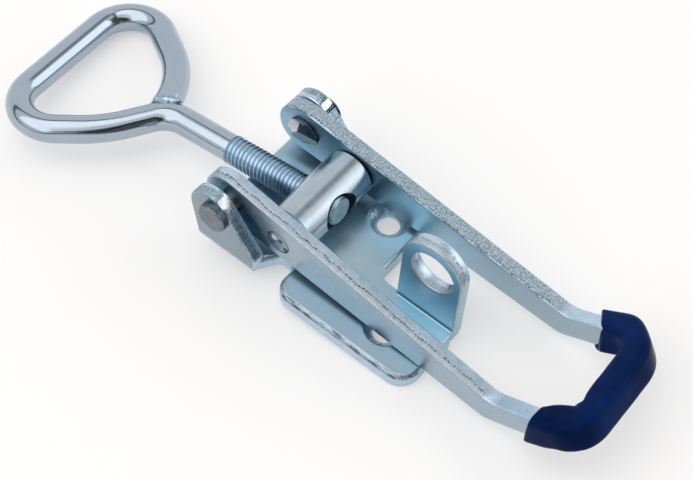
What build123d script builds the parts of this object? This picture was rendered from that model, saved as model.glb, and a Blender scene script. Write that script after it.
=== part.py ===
from build123d import *
from math import asin, atan2, cos, hypot, radians, sin, tan
import os

# Over centre toggle latch, in millimetres.
# X runs from the eye towards the handle, Y across the arms, Z up from the mounting face.
# The origin is on the mounting face, midway between the ears, straight under the lever's pivot.

# Stock
plate_sheet = 4.0
lever_bar = 4.2
rod_dia = 7.6
thread_dia = 7.9

# Pivot and lever
pivot_height = 15.0
arm_inside = 12.3              # centre line to the inner face of an arm, at the pivot
arm_splay = 1.09               # degrees that each arm opens out towards the handle
arm_nose_radius = 7.6
arm_nose_forward = 0.6         # centre of the arm's round end in front of the pivot
arm_rest_gap = 0.15            # shut arm above the rear edge of the plate
crank_reach = 82.3             # pivot to the lower corner of the crank
crank_rise = 28.5              # degrees that the handle end rises
crank_lead = 0.5               # upper corner of the crank beyond the lower one
crank_blend = 7.0
handle_depth = 7.0             # bar depth after the crank
handle_reach = 26.7            # crank to the middle of the cross bar, along the rise
handle_bend_near = 4.0         # inner bend radii of the U
handle_bend_far = 6.5
handle_skew = 0.9              # near end of the cross bar further out than the far end
arm_edge = 0.35

# Dipped grip
grip_wall = 1.3
grip_cross_wall = 0.95
grip_corner = 1.9
grip_lip = 0.6                 # bevel round the two ends of the coat
grip_start_near = 14.6         # crank to the dip line on the near arm, along the rise
grip_start_far = 10.6
grip_dip_lean = 21.0           # degrees that the dip line runs back under the bar

# Pivot rivets
rivet_shank_dia = 6.4
rivet_disc_dia = 8.4
rivet_proud_near = 2.1         # outer head above the ear
rivet_proud_far = 0.6
rivet_disc_edge = 0.35
rivet_head_dia = 9.2
rivet_head_height = 1.4
rivet_head_flat_dia = 5.5
rivet_head_rim = 0.7           # height of the head's upright rim
rivet_head_gap = 0.15          # rivet head to the arm that turns under it
pin_clearance = 0.05           # radial, every pin in its hole

# Cross barrel
barrel_reach = 16.0            # pivot axis to barrel axis, along X
barrel_drop = 2.3              # barrel axis below the pivot axis
barrel_dia = 13.6
barrel_end_gap = 0.3
barrel_chamfer = 0.5
spigot_dia = 7.0
tapped_mouth_dia = 11.6        # countersink at both mouths of the tapped hole
tapped_mouth_depth = 2.1

# Eye bolt: runs go along the bolt from its neck, offsets across it
bolt_front_gap = 1.0           # thread above the front edge of the plate
bolt_tail = 6.2
thread_length = 36.0
thread_chamfer = 0.4
eye_roll = 5.6                 # degrees that the eye is turned on its thread
neck_reach = 51.6              # barrel axis to the neck
neck_radius = 9.0
throat_run = 9.6
throat_offset = -15.8
throat_radius = 35.0
near_corner_run = 35.6
near_corner_offset = -35.4
near_corner_radius = 11.0
far_corner_run = 40.6
far_corner_offset = 32.5
far_corner_radius = 10.1
far_leg_run = 7.1
far_leg_offset = 12.45
far_leg_radius = 30.0
weld_run = 2.2
weld_offset = -1.2

# Base plate
ear_side_gap = 1.4             # arm to ear
bend_inside = 0.6
bend_outside = 2.5
plate_front = -5.5
ear_rear = 12.7
ear_rear_height = 6.0
ear_rear_round = 1.5
ear_nose_radius = 6.4
ear_nose_forward = 2.2         # centre of the ear's round end in front of the pivot
ear_nose_drop = 0.8            # and below it
ear_edge = 0.5
flange_step = 1.95             # flange beyond the outer face of the ear
flange_front = 20.2
flange_front_round = 5.0
flange_rear_round = 5.5
flange_edge = 1.3
relief_inside = 14.7           # centre line to the floor of the relief behind the ear
relief_foot = 15.6
relief_round = 2.2
far_half_rear = 38.1
far_half_round = 5.0
slot_width = 6.1               # between the far half and the padlock tab
slot_end = -3.4
tab_width = 18.1
tab_face = -4.07               # near face of the tab
tab_round_height = 23.0
tab_edge = 0.5
tab_step = 0.4                 # strip beyond the rear edge of the tab
tab_relief_radius = 0.9
tab_relief_offset = 0.7
padlock_hole_dia = 12.6
padlock_hole_height = 22.0
padlock_hole_forward = 0.2

# Countersunk screw holes
screw_dia = 6.1
screw_head_dia = 11.6
hole_a_setback = 8.8           # from the rear edge of the far half
hole_a_offset = 12.0
hole_b_setback = 14.1          # from the rear edge of the strip
hole_b_offset = -13.8

# Worked out from the sizes above
ear_inside = arm_inside + lever_bar + ear_side_gap
ear_outside = ear_inside + plate_sheet
flange_outside = ear_outside + flange_step
tab_front = far_half_rear + slot_width
tab_rear = tab_front + tab_width
tab_middle = (tab_front + tab_rear) / 2
strip_rear = tab_rear + tab_step
barrel_x = barrel_reach
barrel_z = pivot_height - barrel_drop
hole_a_x = far_half_rear - hole_a_setback
hole_b_x = strip_rear - hole_b_setback
wide = 4 * flange_outside      # longer than any piece is wide


def cross_pin(x, z, dia, y_low, y_high):
    # A cylinder along Y.
    pin = Cylinder(dia / 2, y_high - y_low)
    return Pos(x, (y_low + y_high) / 2, z) * Rot(90, 0, 0) * pin


def side_slab(face):
    # Spreads a face drawn in X and Z to both sides of the centre plane.
    return extrude(Plane.XZ * face, wide / 2, both=True)


def rounded(face, corners, radius):
    # Rounds the corners of a flat face that lie at the given points.
    chosen = []
    for x, y in corners:
        chosen.append(face.vertices().sort_by_distance((x, y, 0))[0])
    return fillet(chosen, radius)


def tangent_point(centre, radius, point, side):
    # Where a line from the point touches the circle, on the side given by +1 or -1.
    away = (point[0] - centre[0], point[1] - centre[1])
    reach = hypot(*away)
    turn = atan2(away[1], away[0]) + side * (radians(90) - asin(radius / reach))
    return (centre[0] + radius * cos(turn), centre[1] + radius * sin(turn))


def nose_and_tail(centre, radius, tail):
    # A round nose drawn out by two tangent lines to the first and last points of the tail.
    low = tangent_point(centre, radius, tail[0], -1)
    high = tangent_point(centre, radius, tail[-1], 1)
    body = make_face(Polyline(low, *tail, high, centre, close=True))
    return body + Pos(*centre) * Circle(radius)


# Base plate

def ear_face():
    nose = (-ear_nose_forward, pivot_height - ear_nose_drop)
    front = (plate_front, 0)
    foot = (ear_rear, 0)
    shoulder = (ear_rear, ear_rear_height)
    left = tangent_point(nose, ear_nose_radius, front, -1)
    right = tangent_point(nose, ear_nose_radius, shoulder, 1)
    body = make_face(Polyline(front, foot, shoulder, right, nose, left, close=True))
    face = body + Pos(*nose) * Circle(ear_nose_radius)
    return rounded(face, [shoulder], ear_rear_round)


def ears():
    # A channel as wide as the ears, trimmed to their outline seen from the side.
    tall = pivot_height + 2 * ear_nose_radius
    outer = Rectangle(2 * ear_outside, tall, align=(Align.CENTER, Align.MIN))
    outer = rounded(outer, [(-ear_outside, 0), (ear_outside, 0)], bend_outside)
    inner = Rectangle(2 * ear_inside, tall, align=(Align.CENTER, Align.MIN))
    inner = rounded(inner, [(-ear_inside, 0), (ear_inside, 0)], bend_inside)
    section = outer - Pos(0, plate_sheet) * inner
    channel = extrude(Plane.YZ * section, wide, both=True)
    shape = channel & side_slab(ear_face())
    return chamfer(ear_rims(shape), ear_edge)


def ear_rims(shape):
    # The edges round each ear, above the bend.
    rims = []
    for edge in shape.edges():
        middle = edge.center()
        above = edge.bounding_box().min.Z > plate_sheet + bend_inside / 2
        if above and abs(middle.Y) > ear_inside - ear_edge:
            rims.append(edge)
    return rims


def flat_face():
    # The flat of the plate in plan, without the bends.
    near = Pos(plate_front, -flange_outside) * Rectangle(
        strip_rear - plate_front, flange_outside + tab_face, align=(Align.MIN, Align.MIN))
    far = Pos(plate_front, tab_face) * Rectangle(
        far_half_rear - plate_front, flange_outside - tab_face, align=(Align.MIN, Align.MIN))
    face = near + far
    for side in (-1, 1):
        flat_edge = side * (ear_outside - bend_outside)
        face -= make_face(Polyline(
            (plate_front, side * wide), (plate_front, flat_edge), (ear_rear, flat_edge),
            (relief_foot, side * relief_inside), (flange_front, side * relief_inside),
            (flange_front, side * wide), close=True))
        face = rounded(face, [(relief_foot, side * relief_inside),
                              (flange_front, side * relief_inside)], relief_round)
        face = rounded(face, [(flange_front, side * flange_outside)], flange_front_round)
    face = rounded(face, [(strip_rear, -flange_outside)], flange_rear_round)
    face = rounded(face, [(far_half_rear, flange_outside)], far_half_round)
    return face


def flange_rims(shape):
    # The upper edges round the two flanges, where the punch rolled them over.
    rims = []
    for edge in shape.edges().filter_by_position(Axis.Z, plate_sheet - 0.01, plate_sheet + 0.01):
        middle = edge.center()
        outside = abs(middle.Y) > relief_inside + relief_round / 2
        if middle.X > flange_front - 0.01 and outside:
            rims.append(edge)
    return rims


def slot_floor():
    # The round blind end of the slot, run a little way under the rolled edge of the far half.
    radius = slot_width / 2
    start = far_half_rear - flange_edge
    face = Pos(start, tab_face) * Rectangle(
        tab_front - start, slot_end - tab_face, align=(Align.MIN, Align.MIN))
    face += Pos(start, slot_end) * Rectangle(
        far_half_rear + radius - start, radius, align=(Align.MIN, Align.MIN))
    face -= Pos(far_half_rear + radius, slot_end + radius) * Circle(radius)
    return extrude(face, plate_sheet)


def tab():
    # The padlock tab with its bend, cut from an angle section.
    tall = tab_round_height + tab_width
    back = tab_face + plate_sheet
    foot = 2 * plate_sheet
    outer = Pos(back, 0) * Rectangle(foot + plate_sheet, tall, align=(Align.MAX, Align.MIN))
    outer = rounded(outer, [(back, 0)], bend_outside)
    inner = Pos(tab_face, plate_sheet) * Rectangle(2 * foot, tall, align=(Align.MAX, Align.MIN))
    inner = rounded(inner, [(tab_face, plate_sheet)], bend_inside)
    section = outer - inner
    angle = extrude(Plane.YZ * section, wide, both=True)
    face = Pos(tab_middle, 0) * Rectangle(tab_width, tab_round_height, align=(Align.CENTER, Align.MIN))
    face += Pos(tab_middle, tab_round_height) * Circle(tab_width / 2)
    face -= Pos(tab_middle + padlock_hole_forward, padlock_hole_height) * Circle(padlock_hole_dia / 2)
    shape = angle & side_slab(face)
    rims = []
    for edge in shape.edges():
        box = edge.bounding_box()
        if box.min.Z > plate_sheet + bend_inside / 2 and box.size.Y < plate_sheet / 2:
            rims.append(edge)
    return chamfer(rims, tab_edge)


def screw_hole(x, y):
    land = plate_sheet - (screw_head_dia - screw_dia) / 2
    bore = Cylinder(screw_dia / 2, 3 * plate_sheet)
    cone = Cone(screw_dia / 2, screw_head_dia / 2, plate_sheet - land,
                align=(Align.CENTER, Align.CENTER, Align.MIN))
    return Pos(x, y, 0) * bore + Pos(x, y, land) * cone


def base_plate():
    flat = extrude(flat_face(), plate_sheet)
    flat = fillet(flange_rims(flat), flange_edge)
    plate = flat + slot_floor() + ears() + tab()
    relief = Cylinder(tab_relief_radius, 4 * plate_sheet)
    plate -= Pos(strip_rear, tab_face - tab_relief_offset, 0) * relief
    plate -= screw_hole(hole_a_x, hole_a_offset)
    plate -= screw_hole(hole_b_x, hole_b_offset)
    plate -= cross_pin(0, pivot_height, rivet_shank_dia + 2 * pin_clearance, -wide, wide)
    return plate


# Lever

rise = radians(crank_rise)
nose_centre = (-arm_nose_forward, pivot_height)
rest_point = (strip_rear, plate_sheet + arm_rest_gap)
lower_touch = tangent_point(nose_centre, arm_nose_radius, rest_point, -1)
lower_slope = (rest_point[1] - lower_touch[1]) / (rest_point[0] - lower_touch[0])
crank_low = (crank_reach, rest_point[1] + lower_slope * (crank_reach - rest_point[0]))
crank_high = (crank_low[0] + crank_lead,
              crank_low[1] + handle_depth / cos(rise) + crank_lead * tan(rise))
crank_middle = ((crank_low[0] + crank_high[0]) / 2, (crank_low[1] + crank_high[1]) / 2)
# The plane in which the blank is folded: u runs along the risen end, v across the arms.
fold_plane = Plane(origin=(crank_middle[0], 0, crank_middle[1]),
                   x_dir=(cos(rise), 0, sin(rise)), z_dir=(-sin(rise), 0, cos(rise)))
pivot_u = -crank_middle[0] * cos(rise) + (pivot_height - crank_middle[1]) * sin(rise)


def arm_face_offset(x, z, outside=False):
    # Centre plane to an arm's inner or outer face at a place on the arm.
    u = (x - crank_middle[0]) * cos(rise) + (z - crank_middle[1]) * sin(rise)
    offset = arm_inside + (u - pivot_u) * tan(radians(arm_splay))
    return offset + outside * lever_bar / cos(radians(arm_splay))


def u_face(inside, u_end, extra_bend, start):
    # A U's outer or inner boundary in the fold plane, closed at its start.
    slope = tan(radians(arm_splay))
    half_start = inside + (start - pivot_u) * slope
    half_end = inside + (u_end - pivot_u) * slope
    near_end = (u_end + handle_skew / 2, -half_end)
    far_end = (u_end - handle_skew / 2, half_end)
    face = make_face(Polyline((start, -half_start), near_end, far_end, (start, half_start), close=True))
    face = rounded(face, [near_end], handle_bend_near + extra_bend)
    return rounded(face, [far_end], handle_bend_far + extra_bend)


def lever_side():
    along = 2 * handle_reach
    far_low = (crank_low[0] + along * cos(rise), crank_low[1] + along * sin(rise))
    far_high = (crank_high[0] + along * cos(rise), crank_high[1] + along * sin(rise))
    arm = nose_and_tail(nose_centre, arm_nose_radius, [crank_low, crank_high])
    face = arm + make_face(Polyline(crank_low, far_low, far_high, crank_high, close=True))
    return rounded(face, [crank_low, crank_high], crank_blend)


def lever():
    start = pivot_u - 3 * arm_nose_radius
    outside = arm_inside + lever_bar / cos(radians(arm_splay))
    outer = u_face(outside, handle_reach + lever_bar / 2, lever_bar, start)
    inner = u_face(arm_inside, handle_reach - lever_bar / 2, 0, 2 * start)
    blank = extrude(fold_plane * (outer - inner), wide, both=True)
    bar = blank & side_slab(lever_side())
    bar = chamfer(bar.edges(), arm_edge)
    bar -= cross_pin(0, pivot_height, rivet_shank_dia + 2 * pin_clearance, -wide, wide)
    bar -= cross_pin(barrel_x, barrel_z, spigot_dia + 2 * pin_clearance, -wide, wide)
    return bar


def handle_grip(bar):
    # The coat follows the U, ends at a slanting dip line and is hollow where the bar is.
    start = -handle_reach
    outside = arm_inside + lever_bar / cos(radians(arm_splay)) + grip_wall
    outer = u_face(outside, handle_reach + lever_bar / 2 + grip_cross_wall, lever_bar + grip_wall, start)
    inner = u_face(arm_inside - grip_wall, handle_reach - lever_bar / 2 - grip_cross_wall,
                   -grip_wall, 2 * start)
    keep = make_face(Polyline((grip_start_near, -ear_outside), (wide, -ear_outside),
                              (wide, ear_outside), (grip_start_far, ear_outside), close=True))
    dip_way = fold_plane.z_dir + fold_plane.x_dir * tan(radians(grip_dip_lean))
    dipped = extrude(fold_plane * keep, wide, dir=dip_way, both=True)
    coat = extrude(fold_plane * (outer - inner), handle_depth / 2 + grip_wall, both=True) & dipped
    ends = coat.faces().sort_by(Axis(fold_plane.origin, fold_plane.x_dir))[:2]
    end_edges = ends[0].edges() + ends[1].edges()
    coat = fillet([edge for edge in coat.edges() if edge not in end_edges], grip_corner)
    ends = coat.faces().sort_by(Axis(fold_plane.origin, fold_plane.x_dir))[:2]
    coat = chamfer(ends[0].edges() + ends[1].edges(), grip_lip)
    return coat - bar


# Pivot rivets

def pivot_rivet(side):
    shank_end = arm_inside - rivet_head_gap
    proud = rivet_proud_near if side < 0 else rivet_proud_far
    disc = Pos(0, 0, ear_outside) * Cylinder(
        rivet_disc_dia / 2, proud, align=(Align.CENTER, Align.CENTER, Align.MIN))
    disc = chamfer(disc.edges().sort_by(Axis.Z)[-1], rivet_disc_edge)
    shank = Pos(0, 0, shank_end) * Cylinder(
        rivet_shank_dia / 2, ear_outside - shank_end, align=(Align.CENTER, Align.CENTER, Align.MIN))
    head = Pos(0, 0, shank_end - rivet_head_height) * Cylinder(
        rivet_head_dia / 2, rivet_head_height, align=(Align.CENTER, Align.CENTER, Align.MIN))
    head = chamfer(head.edges().sort_by(Axis.Z)[0], rivet_head_height - rivet_head_rim,
                   (rivet_head_dia - rivet_head_flat_dia) / 2)
    rivet = disc + shank + head
    return Pos(0, 0, pivot_height) * Rot(-90 * side, 0, 0) * rivet


# Cross barrel and eye bolt

barrel_inside = arm_face_offset(barrel_x, barrel_z)
barrel_outside = arm_face_offset(barrel_x, barrel_z, outside=True)
front_corner = (barrel_x - plate_front, barrel_z - plate_sheet)
bolt_pitch = atan2(front_corner[1], front_corner[0]) - asin(
    (thread_dia / 2 + bolt_front_gap) / hypot(*front_corner))
bolt_along = Vector(-cos(bolt_pitch), 0, -sin(bolt_pitch))
bolt_normal = bolt_along.cross(Vector(0, 1, 0)).rotate(Axis((0, 0, 0), bolt_along), eye_roll)
eye_plane = Plane(origin=(barrel_x, 0, barrel_z), x_dir=bolt_along,
                  z_dir=bolt_normal)


def cross_barrel():
    body = cross_pin(barrel_x, barrel_z, barrel_dia,
                     barrel_end_gap - barrel_inside, barrel_inside - barrel_end_gap)
    body = chamfer(body.edges().filter_by(GeomType.CIRCLE), barrel_chamfer)
    body += cross_pin(barrel_x, barrel_z, spigot_dia, -barrel_outside, barrel_outside)
    bore = thread_dia / 2 + pin_clearance
    tapped = Cylinder(bore, 2 * barrel_dia)
    mouth = Pos(0, 0, barrel_dia / 2) * Cone(
        bore, tapped_mouth_dia / 2, tapped_mouth_depth, align=(Align.CENTER, Align.CENTER, Align.MAX))
    for turn in (0, 180):
        tapped += Rot(turn, 0, 0) * mouth
    return body - eye_plane * Rot(0, 90, 0) * tapped


def rod(points, radii):
    path = eye_plane * FilletPolyline(*points, radius=radii)
    start = Plane(path @ 0, z_dir=path % 0)
    return sweep(start * Circle(rod_dia / 2), path)


def eye_bolt():
    neck = (neck_reach, 0)
    throat = (neck_reach + throat_run, throat_offset)
    near_corner = (neck_reach + near_corner_run, near_corner_offset)
    far_corner = (neck_reach + far_corner_run, far_corner_offset)
    leg_foot = (neck_reach + far_leg_run, far_leg_offset)
    leg_middle = ((far_corner[0] + leg_foot[0]) / 2, (far_corner[1] + leg_foot[1]) / 2)
    weld = (neck_reach + weld_run, weld_offset)
    main = rod([(0, 0), neck, throat, near_corner, far_corner, leg_middle],
               [neck_radius, throat_radius, near_corner_radius, far_corner_radius])
    leg = rod([leg_middle, leg_foot, weld], [far_leg_radius])
    thread = Cylinder(thread_dia / 2, thread_length, align=(Align.CENTER, Align.CENTER, Align.MIN))
    thread = chamfer(thread.edges().sort_by(Axis.Z)[0], thread_chamfer)
    thread = eye_plane * Pos(-bolt_tail, 0, 0) * Rot(0, 90, 0) * thread
    return thread + main + leg


bar = lever()
parts = {
    "base_plate": base_plate(),
    "lever": bar,
    "handle_grip": handle_grip(bar),
    "pivot_rivet_near": pivot_rivet(-1),
    "pivot_rivet_far": pivot_rivet(1),
    "cross_barrel": cross_barrel(),
    "eye_bolt": eye_bolt(),
}

os.makedirs("parts", exist_ok=True)
for name, shape in parts.items():
    export_step(shape, f"parts/{name}.step")
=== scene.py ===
from math import cos, pi, radians, sin, sqrt

import bpy
from mathutils import Matrix, Quaternion, Vector


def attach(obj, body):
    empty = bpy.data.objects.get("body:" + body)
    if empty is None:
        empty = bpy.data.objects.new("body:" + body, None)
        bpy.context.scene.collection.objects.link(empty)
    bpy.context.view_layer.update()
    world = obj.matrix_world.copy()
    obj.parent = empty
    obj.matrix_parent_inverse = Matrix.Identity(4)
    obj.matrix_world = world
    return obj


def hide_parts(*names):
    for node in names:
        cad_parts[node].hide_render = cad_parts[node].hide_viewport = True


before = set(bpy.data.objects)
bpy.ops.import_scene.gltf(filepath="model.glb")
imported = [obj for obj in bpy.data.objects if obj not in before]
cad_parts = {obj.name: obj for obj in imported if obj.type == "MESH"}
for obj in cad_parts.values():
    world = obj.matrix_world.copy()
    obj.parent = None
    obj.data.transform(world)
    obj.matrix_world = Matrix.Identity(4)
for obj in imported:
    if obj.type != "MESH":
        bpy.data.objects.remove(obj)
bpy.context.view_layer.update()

mm = 0.001
print("frame loaded")


# Handling pieces

def pick(piece):
    if bpy.context.object and bpy.context.object.mode != "OBJECT":
        bpy.ops.object.mode_set(mode="OBJECT")
    bpy.ops.object.select_all(action="DESELECT")
    piece.select_set(True)
    bpy.context.view_layer.objects.active = piece
    return piece


def newest(name):
    piece = pick(bpy.context.object)
    piece.name = name
    piece.data.name = name
    return piece


def selectParts(piece, kind, test):  # kind is VERT, EDGE or FACE
    pick(piece)
    bpy.ops.object.mode_set(mode="EDIT")
    bpy.ops.mesh.select_mode(type=kind)
    bpy.ops.mesh.select_all(action="DESELECT")
    bpy.ops.object.mode_set(mode="OBJECT")
    parts = {"VERT": piece.data.vertices, "EDGE": piece.data.edges, "FACE": piece.data.polygons}[kind]
    for part in parts:
        part.select = test(part)
    bpy.ops.object.mode_set(mode="EDIT")


def copyOfNode(nodeName, pieceName):  # a merged copy that can be worked on
    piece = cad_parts[nodeName].copy()
    piece.data = piece.data.copy()
    piece.parent = None
    for key in list(piece.keys()):
        del piece[key]
    bpy.context.scene.collection.objects.link(piece)
    pick(piece)
    piece.name = pieceName
    piece.data.name = pieceName
    bpy.ops.object.mode_set(mode="EDIT")
    bpy.ops.mesh.select_all(action="SELECT")
    bpy.ops.mesh.customdata_custom_splitnormals_clear()
    bpy.ops.mesh.remove_doubles(threshold=0.001 * mm)
    bpy.ops.mesh.dissolve_limited(angle_limit=radians(0.5))
    bpy.ops.object.mode_set(mode="OBJECT")
    return piece


def applyModifier(piece, kind, **settings):
    pick(piece)
    modifier = piece.modifiers.new(kind, kind)
    for key, value in settings.items():
        setattr(modifier, key, value)
    bpy.ops.object.modifier_apply(modifier=modifier.name)


def smooth(piece, degreesLimit, weighted=False):
    pick(piece)
    bpy.ops.object.shade_smooth_by_angle(angle=radians(degreesLimit))
    if weighted:
        applyModifier(piece, "WEIGHTED_NORMAL", keep_sharp=True, weight=100)


def bakePlace(piece):
    pick(piece)
    bpy.ops.object.transform_apply(location=True, rotation=True, scale=True)


def dress(piece, body, finishes, nodes=()):
    piece.data.materials.clear()
    for finish in finishes:
        piece.data.materials.append(finish)
    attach(piece, body)
    if nodes:
        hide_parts(*nodes)


def paint(piece, finishes, finishOf):  # finishes are in the order of the piece's material slots
    for polygon in piece.data.polygons:
        polygon.material_index = finishes.index(finishOf(polygon))


# Finishes

def addNode(tree, kind, place, **inputs):
    node = tree.nodes.new(kind)
    node.location = place
    for key, value in inputs.items():
        node.inputs[key.replace("_", " ")].default_value = value
    return node


def feed(tree, target, value):  # a number, a colour or another node's output
    if isinstance(value, bpy.types.NodeSocket):
        tree.links.new(value, target)
    else:
        target.default_value = value


def mathNode(tree, operation, place, first, second=0.0):
    node = addNode(tree, "ShaderNodeMath", place)
    node.operation = operation
    feed(tree, node.inputs[0], first)
    feed(tree, node.inputs[1], second)
    return node.outputs["Value"]


def rangeNode(tree, place, value, low, high, lowResult, highResult, kind="LINEAR"):
    node = addNode(tree, "ShaderNodeMapRange", place)
    node.interpolation_type = kind
    feed(tree, node.inputs["Value"], value)
    for key, number in (("From Min", low), ("From Max", high), ("To Min", lowResult), ("To Max", highResult)):
        node.inputs[key].default_value = number
    return node.outputs["Result"]


def noiseNode(tree, place, vector, scale, detail=3.0, roughness=0.55):
    node = addNode(tree, "ShaderNodeTexNoise", place, Scale=scale, Detail=detail, Roughness=roughness)
    tree.links.new(vector, node.inputs["Vector"])
    return node.outputs["Fac"]


def stretchNode(tree, place, vector, stretch):
    node = addNode(tree, "ShaderNodeMapping", place, Scale=stretch)
    tree.links.new(vector, node.inputs["Vector"])
    return node.outputs["Vector"]


def rampNode(tree, place, value, dark, light, low=0.35, high=0.65):
    node = addNode(tree, "ShaderNodeValToRGB", place)
    for element, position, colour in zip(node.color_ramp.elements, (low, high), (dark, light)):
        element.position = position
        element.color = (*colour, 1)
    tree.links.new(value, node.inputs["Fac"])
    return node.outputs["Color"]


def blendNode(tree, place, share, first, second):
    node = addNode(tree, "ShaderNodeMix", place)
    node.data_type = "RGBA"
    feed(tree, node.inputs[0], share)
    feed(tree, node.inputs[6], first)
    feed(tree, node.inputs[7], second)
    return node.outputs[2]


# plated steel with a slow drift of tint and a fine grain
# a look may add a fade, the torn band of a cut edge or dark marks, which are partly scuffs and partly painted dark
# reflection
def zincFinish(name, look):
    material = bpy.data.materials.new(name)
    material.use_nodes = True
    tree = material.node_tree
    shader = tree.nodes["Principled BSDF"]
    shader.inputs["Metallic"].default_value = 1.0
    place = addNode(tree, "ShaderNodeTexCoord", (-2000, 0)).outputs["Object"]
    drift = noiseNode(tree, (-1600, 500), place, look["driftScale"], 3.0, 0.5)
    colour = rampNode(tree, (-1300, 500), drift, look["darkTint"], look["lightTint"])
    if look.get("fade"):  # the tint pales away from the middle of the part
        fade = look["fade"]
        apart = addNode(tree, "ShaderNodeSeparateXYZ", (-1800, 800))
        tree.links.new(place, apart.inputs["Vector"])
        reach = mathNode(tree, "ABSOLUTE", (-1600, 800), apart.outputs[fade["axis"]])
        share = rangeNode(tree, (-1400, 800), reach, fade["start"], fade["end"], 0.0, 1.0, "SMOOTHSTEP")
        colour = blendNode(tree, (-1150, 600), share, colour, (*fade["tint"], 1))
    grainPlace = stretchNode(tree, (-1800, 200), place, look.get("stretch", (1, 1, 1)))
    grain = noiseNode(tree, (-1600, 200), grainPlace, look["grainScale"], 4.0, 0.6)
    speck = rangeNode(tree, (-1300, 200), grain, 0.3, 0.7, 1 - look["grainShade"], 1 + look["grainShade"])
    colour = shadeNode(tree, (-1000, 400), colour, speck)
    gloss = rangeNode(tree, (-1300, 0), grain, 0.3, 0.7, *look["roughness"])
    height = mathNode(tree, "MULTIPLY", (-1000, 0), grain, look["grainHeight"])
    if look.get("torn"):
        colour, gloss, height = tornBand(tree, place, look["torn"], colour, gloss, height)
    # dark marks, partly scuffs and partly painted dark reflection
    if look.get("marks"):
        marks = look["marks"]
        marksPlace = stretchNode(tree, (-1800, -900), place, marks["stretch"])
        spots = noiseNode(tree, (-1600, -900), marksPlace, marks["scale"], 4.0, 0.7)
        share = rangeNode(tree, (-1300, -900), spots, marks["start"], marks["start"] + marks["edge"], 0.0,
                          marks["strength"], "SMOOTHSTEP")
        colour = blendNode(tree, (-600, -600), share, colour, (*marks["colour"], 1))
        sunk = mathNode(tree, "MULTIPLY", (-900, -1000), share, marks["depth"])
        height = mathNode(tree, "SUBTRACT", (-600, -900), height, sunk)
    bump = addNode(tree, "ShaderNodeBump", (-250, -200), Strength=1.0, Distance=mm)
    tree.links.new(height, bump.inputs["Height"])
    tree.links.new(colour, shader.inputs["Base Color"])
    tree.links.new(gloss, shader.inputs["Roughness"])
    tree.links.new(bump.outputs["Normal"], shader.inputs["Normal"])
    return material


def shadeNode(tree, place, colour, factor):  # a colour made lighter or darker by a number near 1
    node = addNode(tree, "ShaderNodeVectorMath", place)
    node.operation = "SCALE"
    tree.links.new(colour, node.inputs[0])
    feed(tree, node.inputs["Scale"], factor)
    return node.outputs["Vector"]


def tornBand(tree, place, torn, colour, gloss, height):
    # depth runs from 0 at the die side of the cut to 1 at the far side, and the sheet tore away beyond torn["tear"]
    apart = addNode(tree, "ShaderNodeSeparateXYZ", (-1800, -400))
    tree.links.new(place, apart.inputs["Vector"])
    sides = [apart.outputs[axis] for axis in "XYZ"]
    if torn["bothSides"]:
        sides[1] = mathNode(tree, "ABSOLUTE", (-1650, -450), sides[1])
    depth = -torn["start"]
    for side, share in zip(sides, torn["across"]):
        if share:
            depth = mathNode(tree, "ADD", (-1350, -450), mathNode(tree, "MULTIPLY", (-1500, -450), side, share), depth)
    depth = mathNode(tree, "DIVIDE", (-1200, -450), depth, torn["sheet"])
    waves = noiseNode(tree, (-1600, -650), place, torn["waveScale"], 3.0, 0.6)
    wander = rangeNode(tree, (-1200, -650), waves, 0.25, 0.75, -torn["wander"], torn["wander"])
    depth = mathNode(tree, "ADD", (-1050, -450), depth, wander)
    share = rangeNode(tree, (-900, -450), depth, torn["tear"] - torn["tearEdge"][0], torn["tear"] + torn["tearEdge"][1],
                      0.0, 1.0, "SMOOTHSTEP")

    # short strokes broken by pits, duller and rougher than the burnished part
    strokesPlace = stretchNode(tree, (-1800, -800), place, torn["strokes"])
    strokes = noiseNode(tree, (-1600, -800), strokesPlace, torn["strokeScale"], 3.0, 0.7)
    pits = noiseNode(tree, (-1600, -950), place, torn["pitScale"], 2.0, 0.6)
    rough = mathNode(tree, "MULTIPLY", (-1300, -850), strokes, pits)
    tornColour = rampNode(tree, (-1100, -850), rough, torn["darkTint"], torn["lightTint"], *torn["roughRange"])
    colour = blendNode(tree, (-700, 200), share, colour, tornColour)
    duller = mathNode(tree, "MULTIPLY", (-850, 0), share, torn["duller"])
    gloss = mathNode(tree, "ADD", (-700, 0), gloss, duller)
    raised = mathNode(tree, "MULTIPLY", (-850, -300), rough, torn["height"])
    height = mathNode(tree, "ADD", (-550, -200), height, mathNode(tree, "MULTIPLY", (-700, -300), share, raised))

    # a thin dark line, often broken, where the tear begins
    away = mathNode(tree, "SUBTRACT", (-900, -600), depth, torn["tear"])
    away = mathNode(tree, "ABSOLUTE", (-750, -500), away)
    line = rangeNode(tree, (-600, -500), away, 0.0, torn["lineWidth"], 1.0, 0.0, "SMOOTHSTEP")
    broken = rangeNode(tree, (-900, -750), strokes, *torn["lineBreaks"], 1.0, torn["lineLeft"], "SMOOTHSTEP")
    line = mathNode(tree, "MULTIPLY", (-450, -500), line, broken)
    lineShare = mathNode(tree, "MULTIPLY", (-450, -350), line, torn["lineStrength"])
    colour = blendNode(tree, (-450, 200), lineShare, colour, (*torn["lineColour"], 1))
    sunk = mathNode(tree, "MULTIPLY", (-450, -300), line, torn["lineDepth"])
    height = mathNode(tree, "SUBTRACT", (-400, -200), height, sunk)
    return colour, gloss, height


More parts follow.
